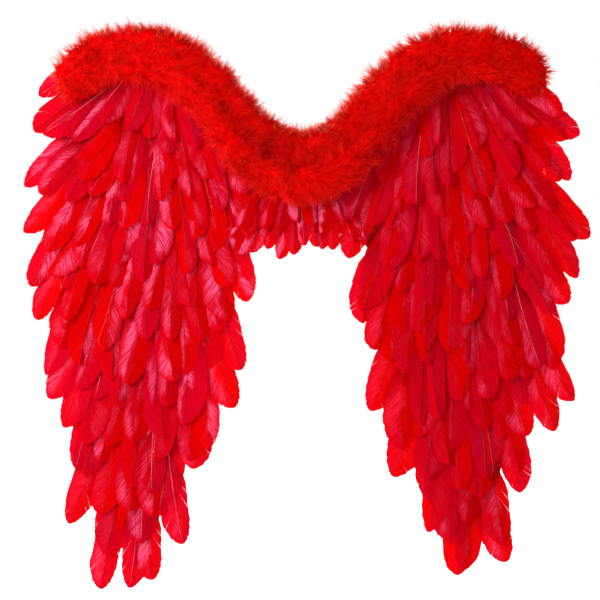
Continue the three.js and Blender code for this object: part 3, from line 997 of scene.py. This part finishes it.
def wisp_kind(index, barbs, lengths, spread_most, half_width, end_width, pale):
    """One tuft of down: fine curved barbs, each a tapering ribbon. It grows along +Z."""
    rng = np.random.default_rng(WISP_SEED + index)
    points, faces, reaches = [], [], []
    for barb in range(barbs):
        length = rng.uniform(*lengths)
        spread = rng.uniform(0.05, spread_most)
        around = rng.uniform(0, 2 * math.pi)
        away = np.array([math.cos(around), math.sin(around), 0])
        turned = around + rng.uniform(-0.6, 0.6)
        across = np.array([-math.sin(turned), math.cos(turned), 0])
        root = np.array([*rng.uniform(-1.5, 1.5, 2), rng.uniform(-4, 2)])
        droop = rng.uniform(-0.1, 0.4)
        first = len(points)
        for s, width in ((0, half_width), (0.5, 0.95 * half_width), (1, end_width)):
            middle = root + away * length * spread * s**1.3
            middle = middle + [0, 0, length * ((1 - spread * 0.5) * s - droop * 0.3 * s**2)]
            edges = [middle - across * width, middle + across * width]
            edges = edges if width else edges[:1]
            points += edges
            reaches += [min(1, 1.4 * s)] * len(edges)
        faces.append((first, first + 1, first + 3, first + 2))
        tip = (first + 5, first + 4) if end_width else (first + 4,)
        faces.append((first + 2, first + 3, *tip))
    mesh = new_mesh(f"wisp_kind_{index}", points, [], faces, FLUFF)
    write_attribute(mesh, "reach", reaches)
    # A painted glow towards the barbs' ends, on the rim's tips.
    write_attribute(mesh, "pale", [pale * reach for reach in reaches])
    smooth(mesh)
    return mesh


def trim_path():
    """Stations along the whole trim from end to end: core points, directions outwards, and shares
    of the way from the neck"""
    per_span = 24
    edge = catmull_rom(plan_points(1, BOARD_OUTLINE[: TRIMMED_POINTS + 1]), per_span)
    reached = per_span * (TRIMMED_POINTS - 1 + TRIM_OVERRUN)
    edge = edge[np.linspace(0, reached, TRIM_SAMPLES).round().astype(int)]
    path = np.concatenate([edge[::-1] * (-1, 1), edge[1:]])
    for _ in range(NECK_ROUNDING):
        path[1:-1] = (path[:-2] + 2 * path[1:-1] + path[2:]) / 4
    outward = square_to(np.gradient(path, axis=0))
    return path - outward * TRIM_INSET, outward, np.abs(np.linspace(-1, 1, len(path)))


def cover_at(x, z):
    """How far forward of the board the feathers under the trim reach"""
    radius = math.hypot(abs(x) - FAN_ACROSS, z - FAN_ABOVE)
    below = np.clip(radius - ROWS_BEGIN, 0, ROW_REACH)
    wing_rows = LAYER_RISE / ROW_SPACING * below + ROWS_THICKNESS
    fringe = LAYER_RISE / FRINGE_SPACING * max(0, FRINGE_BEGIN - z) + LAYER_RISE
    return max(wing_rows, fringe) if abs(x) < BRIDGE_HALF else wing_rows


def trim_surface(name, low, high):
    """The trim's dense middle between two places across the wings, with soft lumps"""
    cores, outwards, shares = trim_path()
    first = int(np.sum(cores[:, 0] < low))
    last = min(int(np.sum(cores[:, 0] < high)), len(cores) - 1)
    kept = range(first, last + 1)
    points, bared, outer = [], [], []
    for core, outward, share in zip(cores[kept], outwards[kept], shares[kept]):
        size = station(TRIM_STATIONS, share)
        half = (size["outwards"] + size["inwards"]) / 2
        middle = (size["outwards"] - size["inwards"]) / 2
        for k in range(TRIM_AROUND):
            turn = 2 * math.pi * k / TRIM_AROUND
            c, s = math.cos(turn), math.sin(turn)
            across = middle + half * np.sign(c) * abs(c) ** 0.85
            x, z = core + outward * across
            lumps = math.sin(x * 0.13 + z * 0.11 + 2 * s) * math.sin(z * 0.16 - x * 0.06 + 1.7)
            lumps += 0.5 * math.sin(x * 0.31 + z * 0.27)
            # The inner side lies on feathers all along, the outer side at the trim's ends only.
            overlap = 1.0 if across < -6 else np.clip((abs(x) - OVERLAP_BEGIN) / OVERLAP_SPAN, 0, 1)
            y = BOARD_FRONT - (1 + overlap * (cover_at(x, z) - 1))
            if s > 0:
                y = y - (size["depth"] - 6) * s**0.7 - 2.4 * lumps * s
            else:
                y = y + (3 if across > 9 else 0) * abs(s)
            x, z = (x, z) + outward * (2.2 * lumps + 1.2 * math.sin(x * 0.7 - z * 0.55))
            points.append((x, y, z))
            back_share = 0.75 if across > TRIM_INSET + 2 else 0.0
            bared.append(1.0 if s > -0.01 else back_share)
            outer.append(max(0.0, c))
    mesh = new_mesh(name, points, [], tube_faces(len(kept), TRIM_AROUND), FLUFF_CORE)
    write_attribute(mesh, "bared", bared)
    write_attribute(mesh, "outer", outer)
    face_outwards(mesh)
    smooth(mesh)
    return mesh


def fluff_tree():
    """Tufts of down all over a core, combed in clumps, and coarser tips along its rim"""
    inputs = {
        "Geometry": ("Core",),
        "Collection": ("Tufts", "Tips"),
        "Float": ("Density", "Tip Density", "Tuft Size"),
        "Int": ("Seed",),
    }
    tree = GeometryTree("marabou_fluff", inputs)
    given = tree.given
    bared, outer = tree.stored("bared"), tree.stored("outer")
    facing = tree.split(tree.node("GeometryNodeInputNormal"), "Y")
    rim = 1 - tree.maths("ABSOLUTE", facing)

    def tufts_of(collection, kinds, density, size, stray, combed, salt):
        """Tufts of a collection on the core, leaning by chance and with their neighbours"""
        seed = given["Seed"] + salt
        points, normal = tree.node(
            "GeometryNodeDistributePointsOnFaces",
            {"distribute_method": "RANDOM"},
            {"Mesh": given["Core"], "Density": density, "Seed": seed},
            ("Points", "Normal"),
        )
        lie = tree.vector_maths("ADD", normal, (0.0, -0.7, 0.0))
        points = tree.store(points, "lie", lie, "FLOAT_VECTOR", "POINT")
        least = (-stray, -0.9 * stray, -1.1 * stray)
        most = (stray, 0.7 * stray, 0.8 * stray)
        lean = tree.chance(least, most, seed + 1, "FLOAT_VECTOR")
        place = tree.node("GeometryNodeInputPosition")
        comb = tree.noise(place, 26.0, 1.0, output="Color")
        comb = tree.vector_maths("ADD", comb, (-0.5, -0.5, -0.52))
        strength = (combed, 0.45 * combed, combed)
        comb = tree.vector_maths("MULTIPLY", comb, strength)
        way = tree.vector_maths("ADD", tree.vector_maths("ADD", normal, lean), comb)
        sockets = {"Rotation": (0.0, 0.0, 0.0), "Vector": way}
        turn = tree.node("FunctionNodeAlignRotationToVector", {"axis": "Z"}, sockets)
        sockets = {
            "Instance Index": tree.chance(0, kinds - 1, seed + 4, "INT"),
            "Rotation": turn,
            "Scale": size * tree.chance(0.65, 1.25, seed + 3),
        }
        grown = tree.plant(points, collection, sockets)
        return tree.store(grown, "tone", tree.chance(0.0, 1.0, seed + 5))

    thick = given["Density"] * bared * (0.7 + 1.3 * rim)
    size = given["Tuft Size"] * (0.4 + 0.6 * bared) * (1 - 0.42 * outer.step(0.5, 1.0))
    tufts = tufts_of(given["Tufts"], WISP_KINDS, thick, size, stray=0.45, combed=4.5, salt=0)
    border = given["Tip Density"] * outer.step(0.75, 0.98) * (0.25 + 0.75 * bared)
    size = given["Tuft Size"]
    tips = tufts_of(given["Tips"], TIP_KINDS, border, size, stray=0.3, combed=2.0, salt=50)
    core = tree.store(given["Core"], "core", True, "BOOLEAN", "FACE")
    return tree.end(tree.real([tufts, tips, core]), FLUFF, (("core", FLUFF_CORE),))


wisp_kinds = collection_of(
    "wisp_kinds",
    [
        wisp_kind(i, barbs=16, lengths=(13, 25), spread_most=0.55, half_width=0.2, end_width=0, pale=0)
        for i in range(WISP_KINDS)
    ],
)
tip_kinds = collection_of(
    "tip_kinds",
    [
        wisp_kind(20 + i, barbs=5, lengths=(9, 18), spread_most=0.4, half_width=0.45, end_width=0.2, pale=1)
        for i in range(TIP_KINDS)
    ],
)
marabou = fluff_tree()
trim_lengths = {
    "left": (-PAST_TRIM, -CENTRE_TRIM_HALF),
    "centre": (-CENTRE_TRIM_HALF, CENTRE_TRIM_HALF),
    "right": (CENTRE_TRIM_HALF, PAST_TRIM),
}
for number, (place, (low, high)) in enumerate(trim_lengths.items()):
    settings = {
        "Tufts": wisp_kinds,
        "Tips": tip_kinds,
        "Density": TUFTS_PER_SQUARE_METRE,
        "Tip Density": TIPS_PER_SQUARE_METRE,
        "Tuft Size": TUFT_SIZE,
        "Seed": 31 + 10 * number,
    }
    core = trim_surface(f"{place}_fluff_trim_core", low, high)
    piece = grow(f"{place}_marabou", marabou, settings, core)
    finish_piece(piece, "marabou_fluff", f"{place}_fluff_trim")


# Boards, pad and straps


def slab(name, outline, front, back, edge, material):
    """A flat board of this outline, with its edges rounded"""
    bm = bmesh.new()
    rim = [bm.verts.new((x * MM, back * MM, z * MM)) for x, z in outline]
    face = bm.faces.new(rim)
    made = bmesh.ops.extrude_face_region(bm, geom=[face])
    moved = [item for item in made["geom"] if isinstance(item, bmesh.types.BMVert)]
    bmesh.ops.translate(bm, verts=moved, vec=(0, (front - back) * MM, 0))
    border = [item for item in bm.edges if len(item.link_faces) == 2 and item.calc_face_angle(0) > 1]
    bmesh.ops.bevel(bm, geom=border, offset=edge * MM, segments=3, profile=0.5, affect="EDGES")
    bmesh.ops.recalc_face_normals(bm, faces=bm.faces)
    mesh = bpy.data.meshes.new(name)
    bm.to_mesh(mesh)
    bm.free()
    mesh.materials.append(material)
    return add_object(name, mesh)


def stitch_tree():
    """Thread stitches at an even pitch along a line of points"""
    inputs = {"Geometry": ("Line",), "Float": ("Pitch", "Stitch Length", "Thread Radius")}
    tree = GeometryTree("stitches", inputs)
    given = tree.given
    curve = tree.node("GeometryNodeMeshToCurve", None, {"Mesh": given["Line"]})
    points, tangent = tree.node(
        "GeometryNodeCurveToPoints",
        {"mode": "LENGTH"},
        {"Curve": curve, "Length": given["Pitch"]},
        ("Points", "Tangent"),
    )
    thread = tree.node("GeometryNodeMeshIcoSphere", None, {"Radius": 1.0, "Subdivisions": 1})
    turn = tree.node("FunctionNodeAlignRotationToVector", {"axis": "X"}, {"Vector": tangent})
    radius = given["Thread Radius"]
    size = tree.vector(given["Stitch Length"] * 0.5, radius, radius)
    sockets = {"Points": points, "Instance": thread, "Rotation": turn, "Scale": size}
    sewn = tree.node("GeometryNodeInstanceOnPoints", None, sockets)
    return tree.end(tree.real(sewn), THREAD)


def stitch_line(name, points, pitch=3.4, length=2.6, closed=False):
    """Stitches along these points"""
    edges = [(i, i + 1) for i in range(len(points) - 1)]
    if closed:
        edges.append((len(points) - 1, 0))
    line = new_mesh(name + "_line", points, edges, [])
    sizes = {"Pitch": pitch, "Stitch Length": length, "Thread Radius": THREAD_RADIUS}
    return grow(name, stitches, {key: size * MM for key, size in sizes.items()}, line)


def inset(outline, amount):
    """An outline moved inwards"""
    outline = np.asarray(outline, float)
    before = np.roll(outline, 1, axis=0)
    after = np.roll(outline, -1, axis=0)
    area = np.sum(outline[:, 0] * after[:, 1] - after[:, 0] * outline[:, 1])
    return outline + square_to(after - before) * amount * np.sign(area)


def join(pieces):
    """One object out of several"""
    bpy.ops.object.select_all(action="DESELECT")
    for piece in pieces:
        piece.select_set(True)
    bpy.context.view_layer.objects.active = pieces[0]
    bpy.ops.object.join()
    return pieces[0]


def board_outline(side):
    points = plan_points(side, BOARD_OUTLINE)
    points[0] = (side * BOARD_SEAM / 2, points[0][1])
    points[-1] = (side * BOARD_SEAM / 2, points[-1][1])
    return catmull_rom(points, 6)


def rounded_rectangle(width, height, corner, per_corner=8):
    points = []
    for quarter in range(4):
        middle_x = (width / 2 - corner) * (1 if quarter in (0, 3) else -1)
        middle_z = (height / 2 - corner) * (1 if quarter in (0, 1) else -1)
        for k in range(per_corner + 1):
            angle = math.pi / 2 * (quarter + k / per_corner)
            points.append((middle_x + corner * math.cos(angle), middle_z + corner * math.sin(angle)))
    return points


def strap_path():
    """The strap's side view: depth behind the board, then height"""
    sewn = STRAP_THICKNESS / 2 + GAP
    middle = (STRAP_TOP + STRAP_BOTTOM) / 2
    # How deep the curve's control points lie, out to the shoulder's back and in again
    near, over, far, under = 28, 67.2, 112, 114.8
    crest, base = (over, STRAP_TOP), (over, STRAP_BOTTOM)
    back = (STRAP_REACH, middle + 22)
    spans = [
        np.linspace((sewn, TOP_TAB - STRAP_TAB), (sewn, TOP_TAB), 7),
        bezier((sewn, TOP_TAB), (sewn, TOP_TAB + 24), (near, STRAP_TOP), crest),
        bezier(crest, (far, STRAP_TOP), (STRAP_REACH, STRAP_TOP - 35), back),
        bezier(back, (STRAP_REACH, middle - 50), (under, STRAP_BOTTOM), base),
        bezier(base, (near, STRAP_BOTTOM), (sewn, LOW_TAB - 20), (sewn, LOW_TAB)),
        np.linspace((sewn, LOW_TAB), (sewn, LOW_TAB + STRAP_TAB), 7),
    ]
    return np.concatenate([spans[0]] + [span[1:] for span in spans[1:]])


def elastic_strap(name, side):
    """A flat elastic strap with soft edges, its ends sewn to the board with a crossed box"""
    path = strap_path()
    sideways = square_to(np.gradient(path, axis=0))
    travelled = np.concatenate([[0], np.cumsum(np.linalg.norm(np.diff(path, axis=0), axis=1))])
    half, thick = STRAP_WIDTH / 2, STRAP_THICKNESS / 2
    section = [(-half, -0.3), (-half + 0.7, -1), (0, -1), (half - 0.7, -1), (half, -0.3)]
    section += [(x, -t) for x, t in reversed(section)]
    middle = side * STRAP_SPACING / 2
    points, places = [], []
    for spot, way, reach in zip(path, sideways, travelled):
        for x, share in section:
            y, z = spot + way * thick * share
            points.append((middle + x, BOARD_BACK + y, z))
            places.append((x / STRAP_WIDTH + 0.5, reach))
    mesh = new_mesh(name, points, [], tube_faces(len(path), len(section)), ELASTIC)
    write_map(mesh, "strap", places)
    face_outwards(mesh)
    smooth(mesh)
    parts = [add_object(name, mesh)]
    behind = BOARD_BACK + GAP + STRAP_THICKNESS + THREAD_LIFT
    left, right = middle - half + TAB_MARGIN, middle + half - TAB_MARGIN
    for number, low in enumerate((TOP_TAB - STRAP_TAB, LOW_TAB)):
        bottom, top = low + TAB_MARGIN, low + STRAP_TAB - TAB_MARGIN
        box = [(left, bottom), (right, bottom), (right, top), (left, top), (left, bottom)]
        box += [(right, top), (right, bottom), (left, top)]
        line = [(x, behind, z) for x, z in box]
        parts.append(stitch_line(f"{name}_box_{number}", line, pitch=2.6, length=2.0))
    return join(parts)


stitches = stitch_tree()
for name, side in (("left", -1), ("right", 1)):
    outline = board_outline(side)
    board = slab(f"{name}_board", outline, BOARD_FRONT, BOARD_BACK, BOARD_ROUNDING, FELT)
    seam = [(x, BOARD_BACK + THREAD_LIFT, z) for x, z in inset(outline, SEAM_INSET)]
    board = join([board, stitch_line(f"{name}_board_seam", seam, closed=True)])
    finish_piece(board, "backing_felt", f"{name}_wing_board")

pad_outline = rounded_rectangle(PAD_WIDTH, PAD_HEIGHT, PAD_CORNER)
pad_parts = [slab("felt_back_pad", pad_outline, -PAD_THICKNESS, 0, PAD_ROUNDING, FELT)]
for number, distance in enumerate(PAD_SEAMS):
    seam = [(x, THREAD_LIFT, z) for x, z in inset(pad_outline, distance)]
    pad_parts.append(stitch_line(f"pad_seam_{number}", seam, closed=True))
finish_piece(join(pad_parts), "backing_felt", "back_pad")

for name, side in (("left", -1), ("right", 1)):
    strap = elastic_strap(f"{name}_elastic", side)
    finish_piece(strap, "elastic_strap", f"{name}_shoulder_strap")


# Floor, light and camera


def pale_floor():
    finish = Finish("pale_floor", {"Roughness": 0.9, "Emission Strength": FLOOR_GLOW})
    speckle = finish.noise(finish.on_object(), 3.0)
    colour = finish.blend(speckle, FLOOR_SPECKLE, FLOOR_WHITE)
    finish.shade({"Base Color": colour, "Emission Color": colour})
    signs = ((-1, -1), (1, -1), (1, 1), (-1, 1))
    corners = [(x * FLOOR_REACH, y * FLOOR_REACH, FLOOR_HEIGHT) for x, y in signs]
    mesh = new_mesh("pale_floor", corners, [], [(0, 1, 2, 3)], finish.material)
    return add_object("pale_floor", mesh)


def studio_world():
    """Soft light from all round, and pure white where the camera sees past the floor"""
    world = bpy.data.worlds.new("studio")
    world.use_nodes = True
    sky = Tree(world.node_tree)
    background = world.node_tree.nodes["Background"]
    sky.feed(background.inputs["Color"], (1.0, 1.0, 1.0))
    white = Value(sky, background.outputs[0])
    sockets = {"Color": (1.0, 1.0, 1.0), "Strength": SKY_STRENGTH}
    around = sky.node("ShaderNodeBackground", None, sockets)
    seen = sky.node("ShaderNodeLightPath", output="Is Camera Ray")
    mixed = sky.node("ShaderNodeMixShader", None, {0: seen, 1: around, 2: white})
    sky.feed(world.node_tree.nodes["World Output"].inputs["Surface"], mixed)
    return world


def area_light(name, place, width, power, colour):
    lamp = bpy.data.lights.new(name, "AREA")
    lamp.size = width
    lamp.energy = power
    lamp.color = colour
    made = add_object(name, lamp)
    made.location = place
    towards = Vector(LIGHT_TARGET) - Vector(place)
    made.rotation_euler = towards.to_track_quat("-Z", "Y").to_euler()


def photo_camera():
    """A camera square to the wings, at the distance that gives the photograph's frame"""
    data = bpy.data.cameras.new("camera")
    data.lens = LENS
    data.sensor_width = SENSOR_WIDTH
    made = add_object("camera", data)
    away = -FRAME_WIDTH * LENS / SENSOR_WIDTH - FEATHERS_AHEAD
    made.location = (CAMERA_ACROSS, away, CAMERA_HEIGHT)
    made.rotation_euler = (math.pi / 2, 0, 0)
    return made


floor = pale_floor()
bpy.context.scene.world = studio_world()
area_light("key_light", (-1.15, -1.1, 0.35), width=0.55, power=34, colour=(1.0, 0.98, 0.96))
area_light("fill_light", (0.0, -2.3, 0.35), width=1.6, power=10, colour=(1.0, 0.98, 0.98))
area_light("top_light", (-0.2, -0.7, 1.5), width=1.0, power=14, colour=(1.0, 0.98, 0.97))
area_light("rim_light", (0.1, 1.3, 1.1), width=1.4, power=28, colour=(1.0, 0.98, 0.97))
bpy.context.scene.camera = photo_camera()
bpy.context.scene.view_settings.view_transform = "Standard"
